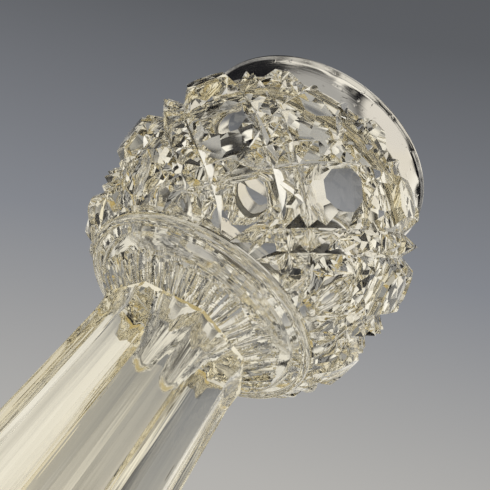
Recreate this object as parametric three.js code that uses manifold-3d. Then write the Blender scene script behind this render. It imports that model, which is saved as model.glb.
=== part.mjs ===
// Cut glass vase: one cut glass body, with a globe on a tall eight-sided stem and a round foot,
// and a plain silver collar bedded on the neck of the globe. Millimetres, +Z up, foot on Z = 0.
import * as THREE from "three";
import { mergeVertices } from "three/addons/utils/BufferGeometryUtils.js";
import Module from "manifold-3d";

const wasm = await Module();
wasm.setup();

const rad = Math.PI / 180;

// Driving sizes
const totalHeight = 250;
const globeRadius = 50;
const collarRadius = 39.9;
const collarHeight = 11.8;
const fitGap = 0.3;
const roundSegments = 48;
const rimSegments = 60;
const meshTolerance = 0.03;
const overlap = 1;

// Silver collar, from the top down and from the outside in
const bandFlare = 0.3;
const lipOverhang = 1.1;
const lipRadius = 1.3;
const lipSteps = 6;
const lipStart = -130 * rad;
const rimPlate = 0.7;
const bandThickness = 0.8;
const beddingThickness = 1.2;
const liningThickness = 0.6;
const liningDepth = 9;
const shoulderStep = 3.5;
const rimTop = totalHeight;
const rimUnderside = rimTop - rimPlate;
const bandTopRadius = collarRadius + bandFlare;
const rimOuterRadius = bandTopRadius + lipOverhang;
const lipCentreRadius = rimOuterRadius - lipRadius;
const lipCentreHeight = rimTop - lipRadius;
const shoulderHeight = rimTop - collarHeight;
const shoulderRadius = collarRadius + shoulderStep;
const bandBottom = shoulderHeight + fitGap;
const bandTop = lipCentreHeight - lipRadius - fitGap;
const beddingOuterRadius = collarRadius - bandThickness - fitGap;
const beddingInnerRadius = beddingOuterRadius - beddingThickness;

// The globe is a ball cut off at the shoulder. Its lower half swells out to a fuller belly, which
// tucks in again to the bead on its lower edge
const bellyFoot = 33;
const bellySwell = 0.09;
const swellStart = 10;
const swellEnd = 37;
const bellyTuck = 0.12;
const tuckStart = 28;
const tuckEnd = 34.5;
const globeCentre = shoulderHeight - Math.sqrt(globeRadius ** 2 - shoulderRadius ** 2);
const bellyFootRadius = Math.sqrt(globeRadius ** 2 - bellyFoot ** 2)
  * swellFactor(bellyFoot) * tuckFactor(bellyFoot);
const undersideHeight = globeCentre - bellyFoot * swellFactor(bellyFoot);

// Neck, mouth and hollow of the glass
const neckRadius = beddingInnerRadius - fitGap;
const neckTop = rimUnderside - fitGap;
const neckWall = 4;
const mouthRadius = neckRadius - neckWall;
const liningOuterRadius = mouthRadius - fitGap;
const liningInnerRadius = liningOuterRadius - liningThickness;
const globeWall = 9;
const hollowRadius = globeRadius - globeWall;
const hollowStartAngle = -62 * rad;
const hollowEndAngle = Math.acos(mouthRadius / hollowRadius);
const hollowSteps = 10;
const wellTipRadius = 4;
const wellTipHeight = globeCentre - 62;
const wellThroatRadius = 7.5;
const wellThroatHeight = globeCentre - 47;
const wellSteps = 4;

// Bead and fluted ledge under the globe
const ringInset = 1.8;
const ringSeat = -0.6;
const ringHalfWidth = 1.2;
const ringHalfHeight = 2.3;
const ringRadius = bellyFootRadius - ringInset;
const ringHeight = undersideHeight + ringSeat;
const beadSteps = 7;
const beadStart = -150 * rad;
const beadEnd = 100 * rad;
const coveWidth = 3.2;
const coveDrop = 2.2;
const ledgeDrop = 12.4;
const ledgeEdgeHeight = ringHeight - ledgeDrop;
const ledgeTuck = 2;
const ledgeWidth = 5.4;
const ledgeRise = 6;
const ledgeSlope = Math.atan2(ledgeRise, ledgeWidth + ledgeTuck);
const fluteCount = 32;
const fluteLength = 12;
const fluteMiddle = 2;
const fluteCutterRadius = 3;
const fluteDepth = 1.1;

// Eight-sided stem and foot
const stemSides = 8;
const panelHollow = 1.2;
const panelSteps = 4;
const stemTopRadius = 23.2;
const stemWaistRadius = 22.7;
const stemWaistHeight = ledgeEdgeHeight - 7;
const stemLowRadius = 28.4;
const stemLowHeight = 46;
const stemWidening = (stemLowRadius - stemWaistRadius) / (stemWaistHeight - stemLowHeight);
const flareRadius = 40;
const flareHeight = 7.5;
const flareTuck = 6;
const flareSteps = 10;
const footRadius = 48;
const footEdge = 4.2;
const footChamfer = 0.8;
const footRounding = 1.5;
const footRoundEnd = 80 * rad;
const footDomeRadius = 24;
const footDomeHeight = 9;

// Star cut in the underside of the foot
const starRays = 24;
const starMiddle = 20;
const starHalfLength = 18.5;
const starHalfWidth = 2.4;
const starDepth = 1.7;

// Cutting of the globe: grooves in four directions leave eight-sided buttons
const columns = 16;
const columnStep = 360 / columns;
const patternRise = 12;
const slantAngle = 47.6 * rad;
const pairHalfGap = 6.4;
const slantDepth = 4.9;
const crossDepth = 4.2;
const grooveHalfAngle = 42 * rad;
const grooveReach = 12;
const grooveSteps = 10;
const grooveTop = 36 * rad;
const runOutStart = -31 * rad;
const runOutEnd = -42 * rad;
const buttonFlatDrop = 0.35;
const rowNumbers = [-2, -1, 0];
const buttonCutter = 20;
const globeSteps = 16;

// Finishes
const finishes = {
  glass: { color: 0xe9ece6, roughness: 0.03, metalness: 0 },
  silver: { color: 0xd9d8d4, roughness: 0.16, metalness: 1 },
  plaster: { color: 0xe4dfd2, roughness: 0.9, metalness: 0 },
};

// Turns a closed surface into a solid, facing outward
function solid(geometry) {
  geometry.deleteAttribute("normal");
  geometry.deleteAttribute("uv");
  const merged = mergeVertices(geometry, 1e-4);
  const position = merged.attributes.position.array;
  const index = merged.index.array;
  const faces = [];
  let volume = 0;
  const a = new THREE.Vector3();
  const b = new THREE.Vector3();
  const c = new THREE.Vector3();
  for (let i = 0; i < index.length; i += 3) {
    const [p, q, r] = [index[i], index[i + 1], index[i + 2]];
    if (p === q || q === r || r === p) continue;
    a.fromArray(position, 3 * p);
    b.fromArray(position, 3 * q);
    c.fromArray(position, 3 * r);
    volume += a.dot(b.cross(c));
    faces.push([p, q, r]);
  }
  const ordered = volume < 0 ? faces.map(([p, q, r]) => [p, r, q]) : faces;
  return new wasm.Manifold(new wasm.Mesh({
    numProp: 3,
    vertProperties: Float32Array.from(position),
    triVerts: Uint32Array.from(ordered.flat()),
  }));
}

// Body turned about the Z axis from a list of [radius, height] points
function turned(points, segments = roundSegments) {
  const profile = points.map(([radius, height]) => new THREE.Vector2(radius, height));
  const geometry = new THREE.LatheGeometry(profile, segments);
  geometry.rotateX(Math.PI / 2);
  return solid(geometry);
}

// Points of an arc, from one angle to another, both included; an oval one has its own half height
function arc(centreRadius, centreHeight, radius, from, to, steps, halfHeight = radius) {
  const points = [];
  for (let i = 0; i <= steps; i += 1) {
    const angle = from + (to - from) * i / steps;
    points.push([
      centreRadius + radius * Math.cos(angle),
      centreHeight + halfHeight * Math.sin(angle),
    ]);
  }
  return points;
}

// Points of a curve that leaves the first point and reaches the last along the middle one
function bend(first, middle, last, steps) {
  const [a, b, c] = [first, middle, last].map(([x, y]) => new THREE.Vector2(x, y));
  return new THREE.QuadraticBezierCurve(a, b, c).getPoints(steps).map(({ x, y }) => [x, y]);
}

// Direction on the globe; longitude 0 faces -Y and grows toward +X
function direction(longitude, latitude) {
  return new THREE.Vector3(
    Math.cos(latitude) * Math.sin(longitude),
    -Math.cos(latitude) * Math.cos(longitude),
    Math.sin(latitude),
  );
}

// Latitude that a slanted groove reaches at one turn from the level of its crossing
function slantLatitude(turn) {
  return Math.atan(patternRise / globeRadius + Math.tan(slantAngle) * turn);
}

// Turn, from the level of its crossing, at which a slanted groove reaches a latitude
function slantTurn(latitude) {
  return (Math.tan(latitude) - patternRise / globeRadius) / Math.tan(slantAngle);
}

// Latitude of a row of the pattern, where a rising and a falling groove pair cross
function rowLatitude(row) {
  return slantLatitude(row * columnStep * rad);
}

// Depth of a groove at a latitude: full over the pattern, and running out above the bead
function grooveDepth(depth, latitude) {
  return depth * Math.min(1, (latitude - runOutEnd) / (runOutStart - runOutEnd));
}

// V-shaped cutter along a path of [longitude, latitude] places on the globe
function pathGroove(path, depth) {
  const spread = grooveReach * Math.tan(grooveHalfAngle);
  const outward = path.map(([longitude, latitude]) => direction(longitude, latitude));
  const points = [];
  outward.forEach((out, i) => {
    const before = outward[Math.max(i - 1, 0)];
    const after = outward[Math.min(i + 1, outward.length - 1)];
    const across = after.clone().sub(before).cross(out).normalize();
    const bottom = globeRadius - grooveDepth(depth, path[i][1]);
    const top = out.clone().multiplyScalar(bottom + grooveReach);
    points.push(
      out.clone().multiplyScalar(bottom),
      top.clone().addScaledVector(across, -spread),
      top.clone().addScaledVector(across, spread),
    );
  });
  const last = points.length - 3;
  const index = [0, 1, 2, last, last + 2, last + 1];
  for (let i = 0; i < last; i += 3) {
    for (let side = 0; side < 3; side += 1) {
      const [a, b] = [i + side, i + (side + 1) % 3];
      index.push(a, a + 3, b, b, a + 3, b + 3);
    }
  }
  const geometry = new THREE.BufferGeometry().setFromPoints(points);
  geometry.setIndex(index);
  geometry.translate(0, 0, globeCentre);
  return solid(geometry);
}

// Level V-shaped groove round the globe at one latitude
function levelGroove(latitude) {
  const bottom = globeRadius - crossDepth;
  const side = grooveReach / Math.cos(grooveHalfAngle);
  const foot = [bottom * Math.cos(latitude), globeCentre + bottom * Math.sin(latitude)];
  const corner = (angle) => [foot[0] + side * Math.cos(angle), foot[1] + side * Math.sin(angle)];
  return turned([
    foot,
    corner(latitude - grooveHalfAngle),
    corner(latitude + grooveHalfAngle),
    foot,
  ]);
}

// Pairs of slanted grooves, rising to the right and to the left
function slantedGrooves() {
  const grooves = [];
  const start = slantTurn(runOutEnd);
  const end = slantTurn(grooveTop);
  for (let node = columnStep / 2; node < 360; node += 2 * columnStep) {
    for (const shift of [-pairHalfGap, pairHalfGap]) {
      for (const hand of [-1, 1]) {
        const path = [];
        for (let i = 0; i <= grooveSteps; i += 1) {
          const turn = start + (end - start) * i / grooveSteps;
          path.push([(node + shift) * rad + hand * turn, slantLatitude(turn)]);
        }
        grooves.push(pathGroove(path, slantDepth));
      }
    }
  }
  return grooves;
}

function uprightGrooves() {
  const grooves = [];
  for (let i = 0; i < columns; i += 1) {
    const path = [];
    for (let j = 0; j <= grooveSteps; j += 1) {
      const latitude = runOutEnd + (grooveTop - runOutEnd) * j / grooveSteps;
      path.push([i * columnStep * rad, latitude]);
    }
    grooves.push(pathGroove(path, crossDepth));
  }
  return grooves;
}

function levelGrooves() {
  const between = rowNumbers.map((row) => (rowLatitude(row) + rowLatitude(row + 1)) / 2);
  return between.map(levelGroove);
}

// Blocks that grind the top of each button flat
function buttonFlats() {
  const blocks = [];
  for (const row of rowNumbers) {
    for (let i = 0; i < columns; i += 2) {
      const column = i + (row % 2 === 0 ? 1 : 0);
      const longitude = (column + 0.5) * columnStep * rad;
      const outward = direction(longitude, rowLatitude(row));
      const geometry = new THREE.BoxGeometry(buttonCutter, buttonCutter, grooveReach);
      geometry.applyQuaternion(
        new THREE.Quaternion().setFromUnitVectors(new THREE.Vector3(0, 0, 1), outward),
      );
      const middle = outward.multiplyScalar(globeRadius - buttonFlatDrop + grooveReach / 2);
      geometry.translate(middle.x, middle.y, middle.z + globeCentre);
      blocks.push(solid(geometry));
    }
  }
  return blocks;
}

// Globe with the cut pattern, open to the ring below and to the shoulder above
function cutGlobe() {
  const low = -Math.asin(bellyFoot / globeRadius);
  const high = Math.asin((shoulderHeight - globeCentre) / globeRadius);
  const blank = turned([
    [0, globeCentre - bellyFoot],
    ...arc(0, globeCentre, globeRadius, low, high, globeSteps),
    [0, shoulderHeight],
  ]);
  const cuts = [...slantedGrooves(), ...uprightGrooves(), ...levelGrooves(), ...buttonFlats()];
  const ball = cuts.reduce((body, cut) => body.subtract(cut), blank);
  return swelled(ball.asOriginal().simplify(meshTolerance));
}

// Factor by which the plain ball swells at one depth below its middle
function swellFactor(depth) {
  return 1 + bellySwell * THREE.MathUtils.smoothstep(depth, swellStart, swellEnd);
}

// Factor by which the swollen belly is tucked in at one depth
function tuckFactor(depth) {
  return 1 - bellyTuck * THREE.MathUtils.smoothstep(depth, tuckStart, tuckEnd);
}

// Swells the lower half of the globe and tucks in its lower edge
function swelled(body) {
  const mesh = body.getMesh();
  const points = mesh.vertProperties;
  for (let i = 0; i < points.length; i += 3) {
    const depth = globeCentre - points[i + 2];
    const factor = swellFactor(depth) * tuckFactor(depth);
    points[i] *= factor;
    points[i + 1] *= factor;
    points[i + 2] = globeCentre - depth * swellFactor(depth);
  }
  return new wasm.Manifold(mesh);
}

// Plain turned parts: neck, bead ring and the ledge under the globe
function turnedCore() {
  const coreRadius = globeRadius - slantDepth - overlap;
  const coreLow = -Math.asin(bellyFoot / globeRadius);
  const coreHigh = Math.acos(neckRadius / coreRadius);
  return turned([
    [0, ledgeEdgeHeight],
    [stemTopRadius - ledgeTuck, ledgeEdgeHeight],
    [stemTopRadius + ledgeWidth, ledgeEdgeHeight + ledgeRise],
    [ringRadius - coveWidth, ringHeight - coveDrop],
    ...arc(ringRadius, ringHeight, ringHalfWidth, beadStart, beadEnd, beadSteps, ringHalfHeight),
    ...arc(0, globeCentre, coreRadius, coreLow, coreHigh, beadSteps),
    [neckRadius, neckTop],
    [0, neckTop],
  ]);
}

// Round-bottomed cutters that flute the ledge between the stem and the bead
function ledgeFlutes() {
  const flutes = [];
  for (let i = 0; i < fluteCount; i += 1) {
    const longitude = (i + 0.5) * 360 / fluteCount * rad;
    const outward = direction(longitude, ledgeSlope);
    const below = direction(longitude, ledgeSlope - Math.PI / 2);
    const geometry = new THREE.CapsuleGeometry(fluteCutterRadius, fluteLength, 2, 8);
    geometry.applyQuaternion(
      new THREE.Quaternion().setFromUnitVectors(new THREE.Vector3(0, 1, 0), outward),
    );
    const start = direction(longitude, 0).multiplyScalar(stemTopRadius - ledgeTuck);
    const middle = start.addScaledVector(outward, fluteMiddle);
    middle.addScaledVector(below, fluteCutterRadius - fluteDepth);
    geometry.translate(middle.x, middle.y, middle.z + ledgeEdgeHeight);
    flutes.push(solid(geometry));
  }
  return flutes;
}

// Place on a hollow-ground panel of the stem, from -1 to 1 across it; the radius is at its corners
function panelPoint(panel, across, radius, hollow, height) {
  const half = Math.PI / stemSides;
  const aside = Math.atan(across * Math.tan(half));
  const inner = radius * Math.cos(half) - hollow * (1 - across ** 2);
  const point = direction((2 * panel + 1) * half + aside, 0);
  return point.multiplyScalar(inner / Math.cos(aside)).setZ(height);
}

// Eight hollow-ground panels that widen slowly and then flare out onto the foot. The hollows run
// out at the top edge of the stem
function panelledStem() {
  const flareTop = stemLowRadius + stemWidening * (stemLowHeight - flareHeight);
  const flare = bend(
    [flareRadius, flareHeight],
    [flareTop, flareHeight],
    [stemLowRadius, stemLowHeight],
    flareSteps,
  );
  const profile = [
    [flareRadius + flareTuck, footEdge - overlap, panelHollow],
    ...flare.map(([radius, height]) => [radius, height, panelHollow]),
    [stemWaistRadius, stemWaistHeight, panelHollow],
    [stemTopRadius, ledgeEdgeHeight, 0],
  ];
  const points = [];
  for (const [radius, height, hollow] of profile) {
    for (let panel = 0; panel < stemSides; panel += 1) {
      for (let i = 0; i < panelSteps; i += 1) {
        points.push(panelPoint(panel, 2 * i / panelSteps - 1, radius, hollow, height));
      }
    }
  }
  const count = stemSides * panelSteps;
  const top = points.length;
  points.push(new THREE.Vector3(0, 0, ledgeEdgeHeight));
  points.push(new THREE.Vector3(0, 0, footEdge - overlap));
  const index = [];
  for (let i = 0; i < count; i += 1) {
    const next = (i + 1) % count;
    index.push(top + 1, next, i);
    for (let ring = 0; ring < top - count; ring += count) {
      index.push(ring + i, ring + next, ring + count + next);
      index.push(ring + i, ring + count + next, ring + count + i);
    }
    index.push(top, top - count + i, top - count + next);
  }
  const geometry = new THREE.BufferGeometry().setFromPoints(points);
  geometry.setIndex(index);
  return solid(geometry);
}

function roundFoot() {
  const edgeRadius = footRadius - footRounding;
  const edgeHeight = footEdge - footRounding;
  return turned([
    [0, 0],
    [footRadius - footChamfer, 0],
    [footRadius, footChamfer],
    ...arc(edgeRadius, edgeHeight, footRounding, 0, footRoundEnd, 3),
    [footDomeRadius, footDomeHeight],
    [0, footDomeHeight],
  ]);
}

// Long diamond-shaped cuts that meet near the middle of the underside
function starCuts() {
  const cuts = [];
  for (let i = 0; i < starRays; i += 1) {
    const longitude = i * 360 / starRays * rad;
    const geometry = new THREE.OctahedronGeometry(1);
    geometry.scale(starHalfWidth, starHalfLength, starDepth);
    geometry.rotateZ(longitude);
    const middle = direction(longitude, 0).multiplyScalar(starMiddle);
    geometry.translate(middle.x, middle.y, 0);
    cuts.push(solid(geometry));
  }
  return cuts;
}

// Hollow of the globe, its mouth, and the pointed well that runs down into the stem
function hollow() {
  const tip = arc(0, wellTipHeight, wellTipRadius, -Math.PI / 2, 0, wellSteps);
  const globe = arc(0, globeCentre, hollowRadius, hollowStartAngle, hollowEndAngle, hollowSteps);
  const well = bend(tip.pop(), [wellThroatRadius, wellThroatHeight], globe.shift(), wellSteps);
  return turned([
    ...tip,
    ...well,
    ...globe,
    [mouthRadius, rimTop + overlap],
    [0, rimTop + overlap],
  ]);
}

function glassBody() {
  let body = cutGlobe().add(turnedCore());
  for (const flute of ledgeFlutes()) body = body.subtract(flute);
  body = body.add(panelledStem()).add(roundFoot());
  for (const cut of starCuts()) body = body.subtract(cut);
  return body.subtract(hollow()).asOriginal().simplify(meshTolerance);
}

// Plaster that beds the band on the neck
function beddingPlaster() {
  return turned([
    [beddingInnerRadius, bandBottom],
    [beddingOuterRadius, bandBottom],
    [beddingOuterRadius, neckTop],
    [beddingInnerRadius, neckTop],
    [beddingInnerRadius, bandBottom],
  ]);
}

function collarBand() {
  return turned([
    [collarRadius - bandThickness, bandBottom],
    [collarRadius, bandBottom],
    [bandTopRadius, bandTop],
    [bandTopRadius - bandThickness, bandTop],
    [collarRadius - bandThickness, bandBottom],
  ], rimSegments);
}

// Flat plate over the ground edge of the glass, with a rounded lip outside
function collarRim() {
  return turned([
    [liningInnerRadius, rimUnderside],
    [lipCentreRadius + lipRadius * Math.cos(lipStart), rimUnderside],
    ...arc(lipCentreRadius, lipCentreHeight, lipRadius, lipStart, 90 * rad, lipSteps),
    [liningInnerRadius, rimTop],
    [liningInnerRadius, rimUnderside],
  ], rimSegments);
}

// Sleeve that turns down inside the mouth
function collarLining() {
  const top = rimUnderside - fitGap;
  return turned([
    [liningInnerRadius, top - liningDepth],
    [liningOuterRadius, top - liningDepth],
    [liningOuterRadius, top],
    [liningInnerRadius, top],
    [liningInnerRadius, top - liningDepth],
  ]);
}

function toMesh(name, body, finish) {
  const mesh = body.getMesh();
  const geometry = new THREE.BufferGeometry();
  geometry.setAttribute("position", new THREE.BufferAttribute(mesh.vertProperties, 3));
  geometry.setIndex(new THREE.BufferAttribute(mesh.triVerts, 1));
  const made = new THREE.Mesh(geometry, new THREE.MeshStandardMaterial(finishes[finish]));
  made.name = name;
  return made;
}

const vase = new THREE.Group();
vase.name = "cut_glass_vase";
vase.add(toMesh("glass_body", glassBody(), "glass"));
vase.add(toMesh("bedding_plaster", beddingPlaster(), "plaster"));
vase.add(toMesh("collar_band", collarBand(), "silver"));
vase.add(toMesh("collar_rim", collarRim(), "silver"));
vase.add(toMesh("collar_lining", collarLining(), "silver"));

export default vase;
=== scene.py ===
# Looks of the cut glass vase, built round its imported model. Metres, +Z up, foot on Z = 0.
import math

import bmesh
import bpy
from mathutils import Matrix, Vector


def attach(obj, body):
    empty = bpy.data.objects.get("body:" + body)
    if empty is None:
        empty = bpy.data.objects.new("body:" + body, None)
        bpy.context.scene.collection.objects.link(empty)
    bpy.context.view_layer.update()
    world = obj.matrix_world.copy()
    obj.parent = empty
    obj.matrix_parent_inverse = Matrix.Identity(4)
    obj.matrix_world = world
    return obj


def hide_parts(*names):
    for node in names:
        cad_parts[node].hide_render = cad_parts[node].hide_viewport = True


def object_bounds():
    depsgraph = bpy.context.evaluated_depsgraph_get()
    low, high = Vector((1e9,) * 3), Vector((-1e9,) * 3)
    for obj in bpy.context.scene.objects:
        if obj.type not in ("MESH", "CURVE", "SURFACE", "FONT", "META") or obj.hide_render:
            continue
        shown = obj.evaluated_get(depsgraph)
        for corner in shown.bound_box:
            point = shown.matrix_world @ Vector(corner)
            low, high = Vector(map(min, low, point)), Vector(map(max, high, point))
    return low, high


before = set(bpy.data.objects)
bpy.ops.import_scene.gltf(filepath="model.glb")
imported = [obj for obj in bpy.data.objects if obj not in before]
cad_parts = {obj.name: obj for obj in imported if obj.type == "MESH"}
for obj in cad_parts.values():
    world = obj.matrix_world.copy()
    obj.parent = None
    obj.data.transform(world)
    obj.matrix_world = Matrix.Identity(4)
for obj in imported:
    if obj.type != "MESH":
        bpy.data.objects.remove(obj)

cad_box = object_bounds()
MM = 0.001
RAD = math.pi / 180

# Driving sizes, from the frame and from the same values as the solids
total_height = cad_box[1].z
globe_radius = 50 * MM
collar_radius = 39.9 * MM
collar_height = 11.8 * MM
fit_gap = 0.3 * MM
overlap = 1 * MM

# Silver collar, from the top down and from the outside in
band_flare = 0.3 * MM
lip_overhang = 1.1 * MM
lip_radius = 1.3 * MM
lip_start = -130 * RAD
lip_flat_start = -80 * RAD
lip_flat_end = -8 * RAD
lip_top = 90 * RAD
lip_sweep = 1.1 * MM
solder_line = 0.05 * MM
rim_plate = 0.7 * MM
band_thickness = 0.8 * MM
bedding_thickness = 1.2 * MM
lining_thickness = 0.6 * MM
lining_depth = 9 * MM
metal_edge = 0.15 * MM
shoulder_step = 3.5 * MM
rim_top = total_height
rim_underside = rim_top - rim_plate
band_top_radius = collar_radius + band_flare
lip_centre_radius = band_top_radius + lip_overhang - lip_radius
lip_centre_height = rim_top - lip_radius
lip_flat_radius = lip_centre_radius + lip_radius * math.cos(lip_flat_start)
shoulder_height = rim_top - collar_height
shoulder_radius = collar_radius + shoulder_step
band_bottom = shoulder_height + fit_gap
band_top = lip_centre_height - lip_radius - solder_line

# Globe: a ball whose lower half swells out to a fuller belly, and tucks in to the bead
belly_foot = 33 * MM
belly_swell = 0.09
swell_start = 10 * MM
swell_end = 37 * MM
belly_tuck = 0.12
tuck_start = 28 * MM
tuck_end = 34.5 * MM
globe_centre = shoulder_height - math.sqrt(globe_radius ** 2 - shoulder_radius ** 2)


def smooth_step(value, start, end):
    """0 up to the start and 1 from the end, with a smooth rise between them."""
    t = min(1, max(0, (value - start) / (end - start)))
    return t * t * (3 - 2 * t)


def swell_factor(depth):
    """Factor by which the plain ball swells at one depth below its middle."""
    return 1 + belly_swell * smooth_step(depth, swell_start, swell_end)


def tuck_factor(depth):
    """Factor by which the swollen belly is tucked in at one depth."""
    return 1 - belly_tuck * smooth_step(depth, tuck_start, tuck_end)


belly_foot_radius = math.sqrt(globe_radius ** 2 - belly_foot ** 2) * (
    swell_factor(belly_foot) * tuck_factor(belly_foot))
underside_height = globe_centre - belly_foot * swell_factor(belly_foot)

# Neck, mouth and hollow of the glass
neck_wall = 4 * MM
globe_wall = 9 * MM
neck_radius = collar_radius - band_thickness - bedding_thickness - 2 * fit_gap
neck_top = rim_underside - fit_gap
mouth_radius = neck_radius - neck_wall
lining_outer_radius = mouth_radius - fit_gap
lining_inner_radius = lining_outer_radius - lining_thickness
hollow_radius = globe_radius - globe_wall
hollow_start = -62 * RAD
hollow_end = math.acos(mouth_radius / hollow_radius)
well_tip_radius = 4 * MM
well_tip_height = globe_centre - 62 * MM
well_throat_radius = 7.5 * MM
well_throat_height = globe_centre - 47 * MM

# Bead and fluted ledge under the globe
ring_inset = 1.8 * MM
ring_seat = -0.6 * MM
ring_half_width = 1.2 * MM
ring_half_height = 2.3 * MM
ring_radius = belly_foot_radius - ring_inset
ring_height = underside_height + ring_seat
bead_start = -150 * RAD
bead_end = 100 * RAD
cove_width = 3.2 * MM
cove_drop = 2.2 * MM
ledge_drop = 12.4 * MM
ledge_edge_height = ring_height - ledge_drop
ledge_tuck = 2 * MM
ledge_width = 5.4 * MM
ledge_rise = 6 * MM
ledge_slope = math.atan2(ledge_rise, ledge_width + ledge_tuck)
flute_count = 32
flute_length = 12 * MM
flute_middle = 2 * MM
flute_cutter_radius = 3 * MM
flute_depth = 1.1 * MM

# Eight-sided stem and foot
stem_sides = 8
panel_hollow = 1.2 * MM
stem_top_radius = 23.2 * MM
stem_waist_radius = 22.7 * MM
stem_waist_drop = 7 * MM
stem_waist_height = ledge_edge_height - stem_waist_drop
stem_low_radius = 28.4 * MM
stem_low_height = 46 * MM
stem_widening = (stem_low_radius - stem_waist_radius) / (stem_waist_height - stem_low_height)
flare_radius = 40 * MM
flare_height = 7.5 * MM
flare_tuck = 6 * MM
foot_radius = 48 * MM
foot_edge = 4.2 * MM
foot_chamfer = 0.8 * MM
foot_rounding = 1.5 * MM
foot_rounding_end = 80 * RAD
foot_dome_radius = 24 * MM
foot_dome_height = 9 * MM

# Star cut in the underside of the foot
star_rays = 24
star_middle = 20 * MM
star_half_length = 18.5 * MM
star_half_width = 2.4 * MM
star_depth = 1.7 * MM

# Cutting of the globe; the half gap of a pair of grooves is in degrees of longitude
columns = 16
column_step = 360 / columns
row_numbers = (-2, -1, 0)
pattern_rise = 12 * MM
slant_angle = 47.6 * RAD
pair_half_gap = 6.4
slant_depth = 4.9 * MM
cross_depth = 4.2 * MM
groove_half_angle = 42 * RAD
groove_reach = 12 * MM
groove_top = 36 * RAD
run_out_start = -31 * RAD
run_out_end = -42 * RAD
button_flat_drop = 0.35 * MM
button_cutter = 20 * MM

# Fineness of the round surfaces
round_segments = 160
flute_segments = 24
groove_steps = 48
panel_steps = 12
stem_flare_steps = 40
well_steps = 16
arc_step = 3 * RAD
small_arc_step = 10 * RAD
flute_arc_step = 15 * RAD
glass_sharp_angle = 14 * RAD
silver_sharp_angle = 30 * RAD

# Look of the glass; each noise has its scale per metre and its detail
glass_index = 1.54
glass_tints = ((1.0, 0.995, 0.98), (0.985, 0.98, 0.965))
glass_tint_noise = (25, 2)
smear_noise = (60, 3)
smear_edges = (0.5, 0.75)
smear_roughness = 0.02
wave_noise = (140, 2)
wave_share = 0.12
stem_line_noise = (1, 1)
stem_line_turns = 17
stem_line_lift = 22
stem_line_share = 1.5
stem_line_bottom = 20 * MM
bead_line_noise = (1, 2)
bead_line_stretch = (18, 18, 1900)
bead_line_below = 2.5 * MM
bead_line_above = 2 * MM
line_fade = 1 * MM
glass_bump = 0.25
glass_bump_distance = 0.25 * MM
straw_colour = (0.95, 0.88, 0.63)
straw_density = 13

# Look of the silver
silver_tints = ((0.93, 0.91, 0.87), (0.84, 0.81, 0.75))
silver_tint_noise = (40, 4)
bloom_noise = (55, 3)
bloom_edges = (0.4, 0.7)
bloom_roughness = (0.07, 0.24)
rim_line_noise = (1, 3)
rim_line_stretch = (12, 12, 1500)
mark_noise = (420, 2)
mark_edges = (0.62, 0.7)
dent_noise = (70, 1)
dent_share = 3
silver_bump = 0.35
silver_bump_distance = 0.12 * MM

# Look of the plaster
plaster_tints = ((0.72, 0.69, 0.6), (0.82, 0.79, 0.71))
plaster_noise = (500, 5)
plaster_roughness = 0.9
plaster_bump = 0.4
plaster_bump_distance = 0.2 * MM

# Floor, and the painted glow that the glass and the silver show of it: plainer at the foot, a
# bright painted pool of light near it, darker far away, with painted dark patches
floor_half = 4
floor_colour = (0.62, 0.62, 0.61)
floor_roughness = 0.7
painted_glow_foot = (0.6, 0.59, 0.565)
painted_light_near = (1.0, 0.965, 0.87)
painted_glow_far = (0.3, 0.3, 0.3)
floor_foot_edges = (0.11, 0.16)
floor_fall_edges = (0.15, 0.8)
painted_dark_patch_noise = (7, 1)
painted_dark_patch_edges = (0.52, 0.56)

# Surroundings that the glass and the silver show; a patch has its direction (right, up, away)
# as seen in the photograph, the angles where it is full and where it has faded, and its colour
room_dark = (0.008, 0.008, 0.01)
room_light = (1.0, 0.97, 0.89)
room_card_noise = (2.6, 1)
room_card_edges = (0.455, 0.5)
ahead_edges = (0.8, 0.92)
plain_level = (0.72, 0.72, 0.72)
patches = (
    ((-0.3, 0.75, 0.55), 20, 40, room_dark),
    ((0.3, 0.95, 0.0), 20, 34, (0.42, 0.415, 0.4)),
    ((0.95, 0.3, 0.1), 20, 34, (0.82, 0.78, 0.69)),
    ((0.25, -0.6, 0.75), 14, 30, (0.86, 0.84, 0.79)),
    ((-0.4, -0.15, -0.9), 32, 42, (1.0, 0.985, 0.94)),
    ((0.5, -0.6, -0.62), 24, 32, (0.86, 0.84, 0.78)),
    ((0.85, 0.27, -0.45), 22, 30, (0.8, 0.77, 0.71)),
)

# Backdrop: colours from its pale bottom to its dark top, which leans to the right
backdrop_lean = 0.2
backdrop_stops = (
    (0.2, (0.6, 0.575, 0.52)),
    (0.36, (0.45, 0.44, 0.42)),
    (0.5, (0.235, 0.245, 0.27)),
    (0.64, (0.11, 0.115, 0.125)),
    (0.8, (0.07, 0.07, 0.075)),
)

# Soft lamp, which no mirror or glass shows
key_place = (-0.9, -0.9, 1.1)
key_target = (0, 0, 0.15)
key_size = 1.4
key_watts = 12

# The photograph's camera: it looks up at the vase, and is rolled to the right
camera_turn = -2.5 * RAD
camera_pitch = 36.06 * RAD
camera_roll = 36.71 * RAD
camera_distance = 251.82 * MM
camera_off_right = 4.06 * MM
camera_off_up = 4.7 * MM
camera_lens = 58.78
camera_sensor = 36
camera_near = 5 * MM
camera_far = 50
plain_right = Vector((math.cos(camera_turn), math.sin(camera_turn), 0))
plain_away = Vector((-math.sin(camera_turn), math.cos(camera_turn), 0))
plain_up = Vector((0, 0, math.cos(camera_pitch))) - plain_away * math.sin(camera_pitch)
view_forward = Vector((0, 0, math.sin(camera_pitch))) + plain_away * math.cos(camera_pitch)
view_right = plain_right * math.cos(camera_roll) + plain_up * math.sin(camera_roll)
view_up = plain_up * math.cos(camera_roll) - plain_right * math.sin(camera_roll)

# Bounces of the light that clear glass and polished silver need
glass_bounces = 32
mirror_bounces = 12


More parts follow.
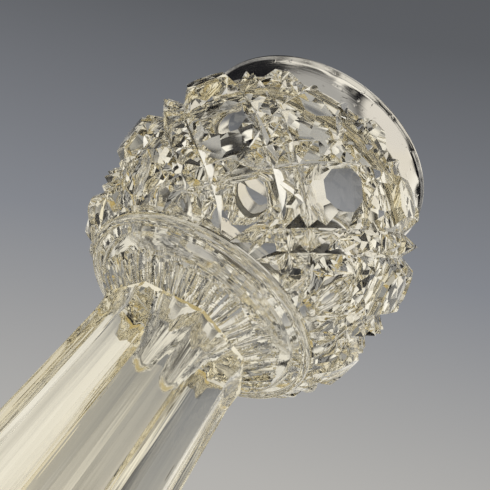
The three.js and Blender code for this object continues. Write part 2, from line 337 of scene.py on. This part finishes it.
def mesh_object(name, vertices, faces):
    """Object with one mesh, put in the scene."""
    mesh = bpy.data.meshes.new(name)
    mesh.from_pydata(vertices, [], faces)
    mesh.validate()
    made = bpy.data.objects.new(name, mesh)
    bpy.context.scene.collection.objects.link(made)
    return made


def face_outward(mesh):
    """Turns the faces of a closed mesh so that they point out."""
    work = bmesh.new()
    work.from_mesh(mesh)
    bmesh.ops.recalc_face_normals(work, faces=work.faces)
    if work.calc_volume(signed=True) < 0:
        bmesh.ops.reverse_faces(work, faces=work.faces)
    work.to_mesh(mesh)
    work.free()


def triangulate(mesh):
    work = bmesh.new()
    work.from_mesh(mesh)
    bmesh.ops.triangulate(work, faces=work.faces)
    work.to_mesh(mesh)
    work.free()


def turned(points, segments=round_segments, name="turned", closed=False):
    """Body turned about Z from (radius, height) points; the ends lie on the axis or it closes."""
    vertices = []
    rings = []
    for radius, height in points:
        if radius == 0:
            rings.append([len(vertices)])
            vertices.append((0.0, 0.0, height))
            continue
        rings.append(list(range(len(vertices), len(vertices) + segments)))
        for i in range(segments):
            angle = -math.pi / 2 + 2 * math.pi * i / segments
            vertices.append((radius * math.cos(angle), radius * math.sin(angle), height))
    faces = []
    pairs = list(zip(rings, rings[1:]))
    if closed:
        pairs.append((rings[-1], rings[0]))
    for low, high in pairs:
        for i in range(segments):
            j = (i + 1) % segments
            if len(low) == 1:
                faces.append((low[0], high[j], high[i]))
            elif len(high) == 1:
                faces.append((low[i], low[j], high[0]))
            else:
                faces.append((low[i], low[j], high[j], high[i]))
    made = mesh_object(name, vertices, faces)
    face_outward(made.data)
    return made


def arc(centre_radius, centre_height, radius, start, end, step=arc_step, half_height=None):
    """Points of an arc; an oval one has its own half height."""
    half_height = half_height or radius
    steps = max(2, math.ceil(abs(end - start) / step))
    points = []
    for i in range(steps + 1):
        angle = start + (end - start) * i / steps
        points.append((
            centre_radius + radius * math.cos(angle),
            centre_height + half_height * math.sin(angle),
        ))
    return points


def bend(first, middle, last, steps):
    """Quadratic curve that leaves the first point and reaches the last along the middle one."""
    points = []
    for i in range(steps + 1):
        t = i / steps
        weights = ((1 - t) ** 2, 2 * t * (1 - t), t * t)
        points.append(tuple(
            sum(w * p[axis] for w, p in zip(weights, (first, middle, last)))
            for axis in range(2)
        ))
    return points


def direction(longitude, latitude):
    """Longitude 0 faces -Y and grows toward +X."""
    return Vector((
        math.cos(latitude) * math.sin(longitude),
        -math.cos(latitude) * math.cos(longitude),
        math.sin(latitude),
    ))


def aim(obj, to_axis, centre):
    """Turns a mesh made along Z to another axis and moves it to its place."""
    turn = Vector((0, 0, 1)).rotation_difference(to_axis).to_matrix().to_4x4()
    obj.data.transform(Matrix.Translation(centre) @ turn)


def combine(body, tools, operation):
    """Cuts the tools from the body or joins them to it, and deletes them."""
    bpy.context.view_layer.objects.active = body
    for tool in tools:
        step = body.modifiers.new("step", "BOOLEAN")
        step.operation = operation
        step.solver = "MANIFOLD"
        step.object = tool
        bpy.ops.object.modifier_apply(modifier=step.name)
    for tool in tools:
        bpy.data.objects.remove(tool)
    return body


def shade(obj, sharp_angle):
    """Smooth shading, with sharp edges where faces meet at more than an angle."""
    obj.data.shade_smooth()
    obj.data.set_sharp_from_angle(angle=sharp_angle)


def slant_latitude(turn):
    """Latitude that a slanted groove reaches at one turn from the level of its crossing."""
    return math.atan(pattern_rise / globe_radius + math.tan(slant_angle) * turn)


def slant_turn(latitude):
    """Turn at which a slanted groove reaches one latitude."""
    return (math.tan(latitude) - pattern_rise / globe_radius) / math.tan(slant_angle)


def row_latitude(row):
    """Latitude of the middle of one row of buttons."""
    return slant_latitude(row * column_step * RAD)


def groove_depth(depth, latitude):
    """Full over the pattern, and running out above the bead."""
    return depth * min(1, (latitude - run_out_end) / (run_out_start - run_out_end))


def path_groove(path, depth):
    """V-shaped cutter along a path of (longitude, latitude) places on the globe."""
    spread = groove_reach * math.tan(groove_half_angle)
    outward = [direction(longitude, latitude) for longitude, latitude in path]
    centre = Vector((0, 0, globe_centre))
    vertices = []
    for i, out in enumerate(outward):
        before = outward[max(i - 1, 0)]
        after = outward[min(i + 1, len(outward) - 1)]
        across = (after - before).cross(out).normalized()
        bottom = globe_radius - groove_depth(depth, path[i][1])
        top = out * (bottom + groove_reach)
        vertices += [
            centre + out * bottom,
            centre + top - across * spread,
            centre + top + across * spread,
        ]
    last = len(vertices) - 3
    faces = [(0, 1, 2), (last, last + 2, last + 1)]
    for i in range(0, last, 3):
        for side in range(3):
            a, b = i + side, i + (side + 1) % 3
            faces += [(a, a + 3, b), (b, a + 3, b + 3)]
    cutter = mesh_object("cutter", vertices, faces)
    face_outward(cutter.data)
    return cutter


def slanted_grooves():
    """Pairs of grooves that cross at the buttons, leaning left and right."""
    grooves = []
    start = slant_turn(run_out_end)
    end = slant_turn(groove_top)
    turns = [start + (end - start) * i / groove_steps for i in range(groove_steps + 1)]
    for node in range(columns // 2):
        for shift in (-pair_half_gap, pair_half_gap):
            longitude = ((2 * node + 0.5) * column_step + shift) * RAD
            for hand in (-1, 1):
                path = [(longitude + hand * turn, slant_latitude(turn)) for turn in turns]
                grooves.append(path_groove(path, slant_depth))
    return grooves


def upright_grooves():
    grooves = []
    for i in range(columns):
        longitude = i * column_step * RAD
        path = [
            (longitude, run_out_end + (groove_top - run_out_end) * j / groove_steps)
            for j in range(groove_steps + 1)
        ]
        grooves.append(path_groove(path, cross_depth))
    return grooves


def level_groove(latitude):
    """V-shaped ring cutter at one latitude."""
    bottom = globe_radius - cross_depth
    side = groove_reach / math.cos(groove_half_angle)
    foot = (bottom * math.cos(latitude), globe_centre + bottom * math.sin(latitude))
    corners = [
        (foot[0] + side * math.cos(angle), foot[1] + side * math.sin(angle))
        for angle in (latitude - groove_half_angle, latitude + groove_half_angle)
    ]
    return turned([foot, *corners], name="cutter", closed=True)


def level_grooves():
    return [
        level_groove((row_latitude(row) + row_latitude(row + 1)) / 2)
        for row in row_numbers
    ]


def block(size, depth, outward, centre):
    """Square block whose depth lies along the outward direction."""
    half = size / 2
    corners = [(x, y, z) for z in (-depth / 2, depth / 2) for x, y in (
        (-half, -half), (half, -half), (half, half), (-half, half))]
    faces = [(0, 3, 2, 1), (4, 5, 6, 7), (0, 1, 5, 4), (1, 2, 6, 5), (2, 3, 7, 6), (3, 0, 4, 7)]
    made = mesh_object("cutter", corners, faces)
    aim(made, outward, centre)
    return made


def button_flats():
    """Cutters that leave the flat faces of the buttons."""
    blocks = []
    for row in row_numbers:
        for i in range(0, columns, 2):
            column = i + (1 if row % 2 == 0 else 0)
            outward = direction((column + 0.5) * column_step * RAD, row_latitude(row))
            reach = globe_radius - button_flat_drop + groove_reach / 2
            centre = outward * reach + Vector((0, 0, globe_centre))
            blocks.append(block(button_cutter, groove_reach, outward, centre))
    return blocks


def cut_globe():
    """The ball with all its cutting, then swollen and tucked in to its real outline."""
    low = -math.asin(belly_foot / globe_radius)
    high = math.asin((shoulder_height - globe_centre) / globe_radius)
    blank = turned([
        (0, globe_centre - belly_foot),
        *arc(0, globe_centre, globe_radius, low, high),
        (0, shoulder_height),
    ], name="cut_glass")
    cutters = slanted_grooves() + upright_grooves() + level_grooves() + button_flats()
    combine(blank, cutters, "DIFFERENCE")
    triangulate(blank.data)
    centre = Vector((0, 0, globe_centre))
    for vertex in blank.data.vertices:
        depth = centre.z - vertex.co.z
        factor = swell_factor(depth) * tuck_factor(depth)
        vertex.co.x *= factor
        vertex.co.y *= factor
        vertex.co.z = centre.z - depth * swell_factor(depth)
    return blank


def turned_core():
    """Ledge, bead, the glass under the cutting, and the neck."""
    core_radius = globe_radius - slant_depth - overlap
    core_low = -math.asin(belly_foot / globe_radius)
    core_high = math.acos(neck_radius / core_radius)
    return turned([
        (0, ledge_edge_height),
        (stem_top_radius - ledge_tuck, ledge_edge_height),
        (stem_top_radius + ledge_width, ledge_edge_height + ledge_rise),
        (ring_radius - cove_width, ring_height - cove_drop),
        *arc(ring_radius, ring_height, ring_half_width, bead_start, bead_end, small_arc_step,
             ring_half_height),
        *arc(0, globe_centre, core_radius, core_low, core_high),
        (neck_radius, neck_top),
        (0, neck_top),
    ])


def ledge_flutes():
    """Round-ended cutters that lie along the slope of the ledge."""
    flutes = []
    half = flute_length / 2
    profile = [
        *arc(0, -half, flute_cutter_radius, -math.pi / 2, 0, flute_arc_step),
        *arc(0, half, flute_cutter_radius, 0, math.pi / 2, flute_arc_step),
    ]
    profile[0] = (0, profile[0][1])
    profile[-1] = (0, profile[-1][1])
    for i in range(flute_count):
        longitude = (i + 0.5) * 360 / flute_count * RAD
        outward = direction(longitude, ledge_slope)
        below = direction(longitude, ledge_slope - math.pi / 2)
        flute = turned(profile, flute_segments, "cutter")
        middle = direction(longitude, 0) * (stem_top_radius - ledge_tuck)
        middle += outward * flute_middle
        middle += below * (flute_cutter_radius - flute_depth)
        middle.z += ledge_edge_height
        aim(flute, outward, middle)
        flutes.append(flute)
    return flutes


def panel_point(panel, across, radius, hollow_depth, height):
    """Place on a hollow-ground panel, from -1 to 1 across it; the radius is at its corners."""
    half = math.pi / stem_sides
    aside = math.atan(across * math.tan(half))
    inner = radius * math.cos(half) - hollow_depth * (1 - across ** 2)
    point = direction((2 * panel + 1) * half + aside, 0) * (inner / math.cos(aside))
    point.z = height
    return point


def panelled_stem():
    """Eight panels; their hollows run out at the top edge of the stem."""
    flare_top = stem_low_radius + stem_widening * (stem_low_height - flare_height)
    flare = bend(
        (flare_radius, flare_height),
        (flare_top, flare_height),
        (stem_low_radius, stem_low_height),
        stem_flare_steps,
    )
    profile = [
        (flare_radius + flare_tuck, foot_edge - overlap, panel_hollow),
        *((radius, height, panel_hollow) for radius, height in flare),
        (stem_waist_radius, stem_waist_height, panel_hollow),
        (stem_top_radius, ledge_edge_height, 0),
    ]
    vertices = [
        panel_point(panel, 2 * i / panel_steps - 1, radius, hollow_depth, height)
        for radius, height, hollow_depth in profile
        for panel in range(stem_sides)
        for i in range(panel_steps)
    ]
    count = stem_sides * panel_steps
    top = len(vertices)
    vertices += [Vector((0, 0, ledge_edge_height)), Vector((0, 0, foot_edge - overlap))]
    faces = []
    for i in range(count):
        after = (i + 1) % count
        faces.append((top + 1, after, i))
        for ring in range(0, top - count, count):
            faces.append((ring + i, ring + after, ring + count + after, ring + count + i))
        faces.append((top, top - count + i, top - count + after))
    stem = mesh_object("stem", vertices, faces)
    face_outward(stem.data)
    return stem


def round_foot():
    edge_radius = foot_radius - foot_rounding
    edge_height = foot_edge - foot_rounding
    return turned([
        (0, 0),
        (foot_radius - foot_chamfer, 0),
        (foot_radius, foot_chamfer),
        *arc(edge_radius, edge_height, foot_rounding, 0, foot_rounding_end, small_arc_step),
        (foot_dome_radius, foot_dome_height),
        (0, foot_dome_height),
    ])


def star_cuts():
    """Pointed cutters set round the axis as the rays of a star."""
    cuts = []
    tips = [(1, 0, 0), (0, 1, 0), (-1, 0, 0), (0, -1, 0), (0, 0, 1), (0, 0, -1)]
    faces = [(0, 1, 4), (1, 2, 4), (2, 3, 4), (3, 0, 4), (1, 0, 5), (2, 1, 5), (3, 2, 5), (0, 3, 5)]
    for i in range(star_rays):
        longitude = i * 360 / star_rays * RAD
        cut = mesh_object("cutter", tips, faces)
        size = Matrix.Diagonal((star_half_width, star_half_length, star_depth, 1))
        turn = Matrix.Rotation(longitude, 4, "Z")
        place = Matrix.Translation(direction(longitude, 0) * star_middle)
        cut.data.transform(place @ turn @ size)
        cuts.append(cut)
    return cuts


def hollow():
    """Inside of the vase: the well in the stem, the hollow of the globe and the mouth."""
    tip = arc(0, well_tip_height, well_tip_radius, -math.pi / 2, 0, small_arc_step)
    tip[0] = (0, tip[0][1])
    globe = arc(0, globe_centre, hollow_radius, hollow_start, hollow_end)
    throat = (well_throat_radius, well_throat_height)
    well = bend(tip.pop(), throat, globe.pop(0), well_steps)
    return turned([
        *tip,
        *well,
        *globe,
        (mouth_radius, rim_top + overlap),
        (0, rim_top + overlap),
    ])


def glass_body():
    body = combine(cut_globe(), [turned_core()], "UNION")
    combine(body, ledge_flutes(), "DIFFERENCE")
    combine(body, [panelled_stem(), round_foot()], "UNION")
    combine(body, star_cuts(), "DIFFERENCE")
    combine(body, [hollow()], "DIFFERENCE")
    shade(body, glass_sharp_angle)
    return body


def silver_band():
    """Plain band, which sweeps out to meet the lip."""
    return turned([
        (collar_radius - band_thickness, band_bottom),
        (collar_radius - metal_edge, band_bottom),
        (collar_radius, band_bottom + metal_edge),
        (band_top_radius, band_top - lip_sweep),
        (lip_flat_radius + lip_sweep / 2, band_top),
        (band_top_radius - band_thickness, band_top),
    ], name="silver_band", closed=True)


def silver_rim():
    """Plate over the edge of the glass, with its rolled lip; a flat runs round the lip."""
    return turned([
        (lining_inner_radius, rim_underside),
        (lip_centre_radius + lip_radius * math.cos(lip_start), rim_underside),
        *arc(lip_centre_radius, lip_centre_height, lip_radius, lip_start, lip_flat_start),
        *arc(lip_centre_radius, lip_centre_height, lip_radius, lip_flat_end, lip_top),
        (lining_inner_radius + metal_edge, rim_top),
        (lining_inner_radius, rim_top - metal_edge),
    ], name="silver_rim", closed=True)


def silver_lining():
    top = rim_underside - fit_gap
    return turned([
        (lining_inner_radius, top - lining_depth),
        (lining_outer_radius, top - lining_depth),
        (lining_outer_radius, top),
        (lining_inner_radius, top),
    ], name="silver_lining", closed=True)


def nodes_of(name):
    """New material with its node tree and its shader."""
    material = bpy.data.materials.new(name)
    material.use_nodes = True
    tree = material.node_tree
    return material, tree, tree.nodes["Principled BSDF"]


def object_coordinate(tree):
    return tree.nodes.new("ShaderNodeTexCoord").outputs["Object"]


def noise(tree, place, scale_and_detail):
    node = tree.nodes.new("ShaderNodeTexNoise")
    node.inputs["Scale"].default_value, node.inputs["Detail"].default_value = scale_and_detail
    tree.links.new(place, node.inputs["Vector"])
    return node.outputs["Fac"]


def ramp(tree, value, edges, results=(0, 1), interpolation="LINEAR"):
    """Value that goes from the first result to the second between the two edges."""
    node = tree.nodes.new("ShaderNodeMapRange")
    node.interpolation_type = interpolation
    node.inputs["From Min"].default_value, node.inputs["From Max"].default_value = edges
    node.inputs["To Min"].default_value, node.inputs["To Max"].default_value = results
    tree.links.new(value, node.inputs["Value"])
    return node.outputs["Result"]


def bump(tree, height, strength, distance):
    node = tree.nodes.new("ShaderNodeBump")
    node.inputs["Strength"].default_value = strength
    node.inputs["Distance"].default_value = distance
    tree.links.new(height, node.inputs["Height"])
    return node.outputs["Normal"]


def math_node(tree, kind, operation, inputs):
    """Math node of one kind; an input is a constant or a socket."""
    node = tree.nodes.new(kind)
    node.operation = operation
    for socket, given in zip(node.inputs, inputs):
        if isinstance(given, bpy.types.NodeSocket):
            tree.links.new(given, socket)
        else:
            socket.default_value = given
    return node.outputs


def number(tree, operation, *inputs):
    return math_node(tree, "ShaderNodeMath", operation, inputs)["Value"]


def vector(tree, operation, *inputs):
    return math_node(tree, "ShaderNodeVectorMath", operation, inputs)["Vector"]


def vector_number(tree, operation, *inputs):
    return math_node(tree, "ShaderNodeVectorMath", operation, inputs)["Value"]


def mixed(tree, factor, first, second):
    """Colour between two others; each is a tuple or a socket."""
    node = tree.nodes.new("ShaderNodeMix")
    node.data_type = "RGBA"
    for name, given in (("A", first), ("B", second)):
        if isinstance(given, tuple):
            node.inputs[name].default_value = (*given, 1)
        else:
            tree.links.new(given, node.inputs[name])
    tree.links.new(factor, node.inputs["Factor"])
    return node.outputs["Result"]


def round_axis_place(tree, place, turns, lift):
    """Place that changes with the turn about the axis and, more slowly, with the height."""
    flat = vector(tree, "NORMALIZE", vector(tree, "MULTIPLY", place, (1, 1, 0)))
    around = vector(tree, "MULTIPLY", flat, (turns, turns, 0))
    return vector(tree, "ADD", around, vector(tree, "MULTIPLY", place, (0, 0, lift)))


def height_band(tree, place, low, high, fade):
    """1 between two heights, fading to 0 outside them."""
    parts = tree.nodes.new("ShaderNodeSeparateXYZ")
    tree.links.new(place, parts.inputs["Vector"])
    rising = ramp(tree, parts.outputs["Z"], (low - fade, low))
    falling = ramp(tree, parts.outputs["Z"], (high, high + fade), (1, 0))
    return number(tree, "MULTIPLY", rising, falling)


def stem_lines(tree, place):
    """Streaks that the wheel left along the stem."""
    along_stem = round_axis_place(tree, place, stem_line_turns, stem_line_lift)
    streaks = noise(tree, along_stem, stem_line_noise)
    top = ledge_edge_height - line_fade
    return number(tree, "MULTIPLY", streaks,
                  height_band(tree, place, stem_line_bottom, top, line_fade))


def bead_lines(tree, place):
    """Streaks that run round the bead."""
    stretched = vector(tree, "MULTIPLY", place, bead_line_stretch)
    streaks = noise(tree, stretched, bead_line_noise)
    low = ring_height - bead_line_below
    high = ring_height + bead_line_above
    return number(tree, "MULTIPLY", streaks, height_band(tree, place, low, high, line_fade))


def glass_material():
    """Clear lead glass: straw where thick, with cutting streaks and fine wear."""
    material, tree, shader = nodes_of("clear_cut_glass")
    shader.inputs["Transmission Weight"].default_value = 1
    shader.inputs["IOR"].default_value = glass_index
    place = object_coordinate(tree)
    tint = mixed(tree, noise(tree, place, glass_tint_noise), *glass_tints)
    tree.links.new(tint, shader.inputs["Base Color"])
    smear = ramp(tree, noise(tree, place, smear_noise), smear_edges, (0, smear_roughness))
    tree.links.new(smear, shader.inputs["Roughness"])
    wave = number(tree, "MULTIPLY", noise(tree, place, wave_noise), wave_share)
    lines = number(tree, "MULTIPLY_ADD", stem_lines(tree, place), stem_line_share,
                   bead_lines(tree, place))
    height = number(tree, "ADD", wave, lines)
    normal = bump(tree, height, glass_bump, glass_bump_distance)
    tree.links.new(normal, shader.inputs["Normal"])
    absorb = tree.nodes.new("ShaderNodeVolumeAbsorption")
    absorb.inputs["Color"].default_value = (*straw_colour, 1)
    absorb.inputs["Density"].default_value = straw_density
    tree.links.new(absorb.outputs["Volume"], tree.nodes["Material Output"].inputs["Volume"])
    return material


def silver_material():
    """Polished silver with fine lines round the rim, a satin bloom and small wear marks."""
    material, tree, shader = nodes_of("silver")
    shader.inputs["Metallic"].default_value = 1
    place = object_coordinate(tree)
    tint = mixed(tree, noise(tree, place, silver_tint_noise), *silver_tints)
    tree.links.new(tint, shader.inputs["Base Color"])
    bloom = ramp(tree, noise(tree, place, bloom_noise), bloom_edges, bloom_roughness)
    tree.links.new(bloom, shader.inputs["Roughness"])
    stretched = vector(tree, "MULTIPLY", place, rim_line_stretch)
    rim_lines = noise(tree, stretched, rim_line_noise)
    marks = ramp(tree, noise(tree, place, mark_noise), mark_edges)
    dents = noise(tree, place, dent_noise)
    height = number(tree, "MULTIPLY_ADD", dents, dent_share,
                    number(tree, "ADD", rim_lines, marks))
    normal = bump(tree, height, silver_bump, silver_bump_distance)
    tree.links.new(normal, shader.inputs["Normal"])
    return material


def plaster_material():
    """Matt off-white plaster with a fine grain."""
    material, tree, shader = nodes_of("bedding_plaster")
    grain = noise(tree, object_coordinate(tree), plaster_noise)
    tree.links.new(mixed(tree, grain, *plaster_tints), shader.inputs["Base Color"])
    shader.inputs["Roughness"].default_value = plaster_roughness
    normal = bump(tree, grain, plaster_bump, plaster_bump_distance)
    tree.links.new(normal, shader.inputs["Normal"])
    return material


def photo_camera():
    data = bpy.data.cameras.new("photo_camera")
    data.lens = camera_lens
    data.sensor_width = camera_sensor
    data.clip_start = camera_near
    data.clip_end = camera_far
    camera = bpy.data.objects.new("photo_camera", data)
    bpy.context.scene.collection.objects.link(camera)
    place = Vector((0, 0, globe_centre)) - view_forward * camera_distance
    place -= view_right * camera_off_right + view_up * camera_off_up
    turn = Matrix((view_right, view_up, -view_forward)).transposed()
    camera.matrix_world = Matrix.Translation(place) @ turn.to_4x4()
    bpy.context.scene.camera = camera


def mirror_or_glass_ray(tree, path):
    """1 for rays that a mirror or glass sends on, and else 0."""
    return number(tree, "MAXIMUM", path.outputs["Is Glossy Ray"],
                  path.outputs["Is Transmission Ray"])


def painted_floor_glow(tree):
    """Floor as the glass and the silver show it, as a painted glow: plain at the foot, a painted
    pool of light near it, darker far away, with painted dark patches.
    """
    place = object_coordinate(tree)
    distance = vector_number(tree, "LENGTH", place)
    # Painted light: a bright pool near the vase that fades to painted shade far away
    fall = ramp(tree, distance, floor_fall_edges)
    lit = mixed(tree, fall, painted_light_near, painted_glow_far)
    # Painted dark patches laid over the painted glow
    painted_dark_patches = ramp(tree, noise(tree, place, painted_dark_patch_noise), painted_dark_patch_edges)
    around = mixed(tree, painted_dark_patches, lit, room_dark)
    at_foot = ramp(tree, distance, floor_foot_edges)
    glow = tree.nodes.new("ShaderNodeEmission")
    tree.links.new(mixed(tree, at_foot, painted_glow_foot, around), glow.inputs["Color"])
    return glow.outputs["Emission"]


def pale_floor():
    corners = [
        (floor_half * x, floor_half * y, 0)
        for x, y in ((-1, -1), (1, -1), (1, 1), (-1, 1))
    ]
    floor = mesh_object("floor", corners, [(0, 1, 2, 3)])
    material, tree, shader = nodes_of("floor")
    shader.inputs["Base Color"].default_value = (*floor_colour, 1)
    shader.inputs["Roughness"].default_value = floor_roughness
    path = tree.nodes.new("ShaderNodeLightPath")
    # Mirror and glass rays see the floor's painted glow, an emission, instead of the lit floor
    choice = tree.nodes.new("ShaderNodeMixShader")
    tree.links.new(mirror_or_glass_ray(tree, path), choice.inputs["Fac"])
    tree.links.new(shader.outputs["BSDF"], choice.inputs[1])
    tree.links.new(painted_floor_glow(tree), choice.inputs[2])
    tree.links.new(choice.outputs["Shader"], tree.nodes["Material Output"].inputs["Surface"])
    floor.data.materials.append(material)


def backdrop(tree, ray):
    """Plain gradient, dark at the top of the photograph and pale at its bottom."""
    up = vector_number(tree, "DOT_PRODUCT", ray, view_up + view_right * backdrop_lean)
    node = tree.nodes.new("ShaderNodeValToRGB")
    stops = node.color_ramp.elements
    while len(stops) < len(backdrop_stops):
        stops.new(0.5)
    for stop, (position, colour) in zip(stops, backdrop_stops):
        stop.position = position
        stop.color = (*colour, 1)
    tree.links.new(number(tree, "MULTIPLY_ADD", up, 0.5, 0.5), node.inputs["Fac"])
    return node.outputs["Color"]


def surroundings(tree, ray, plain):
    """Room with light and dark cards; it is plain ahead, and has the patches."""
    room = ramp(tree, noise(tree, ray, room_card_noise), room_card_edges)
    ahead = ramp(tree, vector_number(tree, "DOT_PRODUCT", ray, view_forward), ahead_edges)
    shown = mixed(tree, ahead, mixed(tree, room, room_light, room_dark), plain)
    for (right, up, away), full, faded, colour in patches:
        axis = (view_right * right + view_up * up + view_forward * away).normalized()
        edges = (math.cos(faded * RAD), math.cos(full * RAD))
        near = vector_number(tree, "DOT_PRODUCT", ray, axis)
        share = ramp(tree, near, edges, interpolation="SMOOTHSTEP")
        shown = mixed(tree, share, shown, colour)
    return shown


def studio_world():
    """Backdrop for the camera, surroundings for mirror and glass, and a plain level for light."""
    world = bpy.data.worlds.new("studio")
    bpy.context.scene.world = world
    world.use_nodes = True
    tree = world.node_tree
    ray = tree.nodes.new("ShaderNodeTexCoord").outputs["Generated"]
    path = tree.nodes.new("ShaderNodeLightPath")
    plain = backdrop(tree, ray)
    by_camera = path.outputs["Is Camera Ray"]
    shown = mixed(tree, by_camera, surroundings(tree, ray, plain), plain)
    seen = number(tree, "MAXIMUM", mirror_or_glass_ray(tree, path), by_camera)
    colour = mixed(tree, seen, plain_level, shown)
    tree.links.new(colour, tree.nodes["Background"].inputs["Color"])


def key_lamp():
    data = bpy.data.lights.new("key", "AREA")
    data.shape = "RECTANGLE"
    data.size = key_size
    data.size_y = key_size
    data.energy = key_watts
    lamp = bpy.data.objects.new("key", data)
    bpy.context.scene.collection.objects.link(lamp)
    lamp.location = key_place
    lamp.rotation_mode = "QUATERNION"
    lamp.rotation_quaternion = (Vector(key_target) - Vector(key_place)).to_track_quat("-Z", "Y")
    lamp.visible_glossy = False
    lamp.visible_transmission = False


def render_settings():
    scene = bpy.context.scene
    scene.view_settings.view_transform = "Standard"
    scene.cycles.max_bounces = glass_bounces
    scene.cycles.transmission_bounces = glass_bounces
    scene.cycles.glossy_bounces = mirror_bounces
    scene.cycles.use_denoising = True


glass = glass_body()
glass.data.materials.clear()
glass.data.materials.append(glass_material())
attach(glass, "root")
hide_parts("glass_body")

silver = silver_material()
for piece, node in (
    (silver_band(), "collar_band"),
    (silver_rim(), "collar_rim"),
    (silver_lining(), "collar_lining"),
):
    shade(piece, silver_sharp_angle)
    piece.data.materials.append(silver)
    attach(piece, "root")
    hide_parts(node)

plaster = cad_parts["bedding_plaster"]
plaster.data.materials.clear()
plaster.data.materials.append(plaster_material())

pale_floor()
photo_camera()
studio_world()
key_lamp()
render_settings()
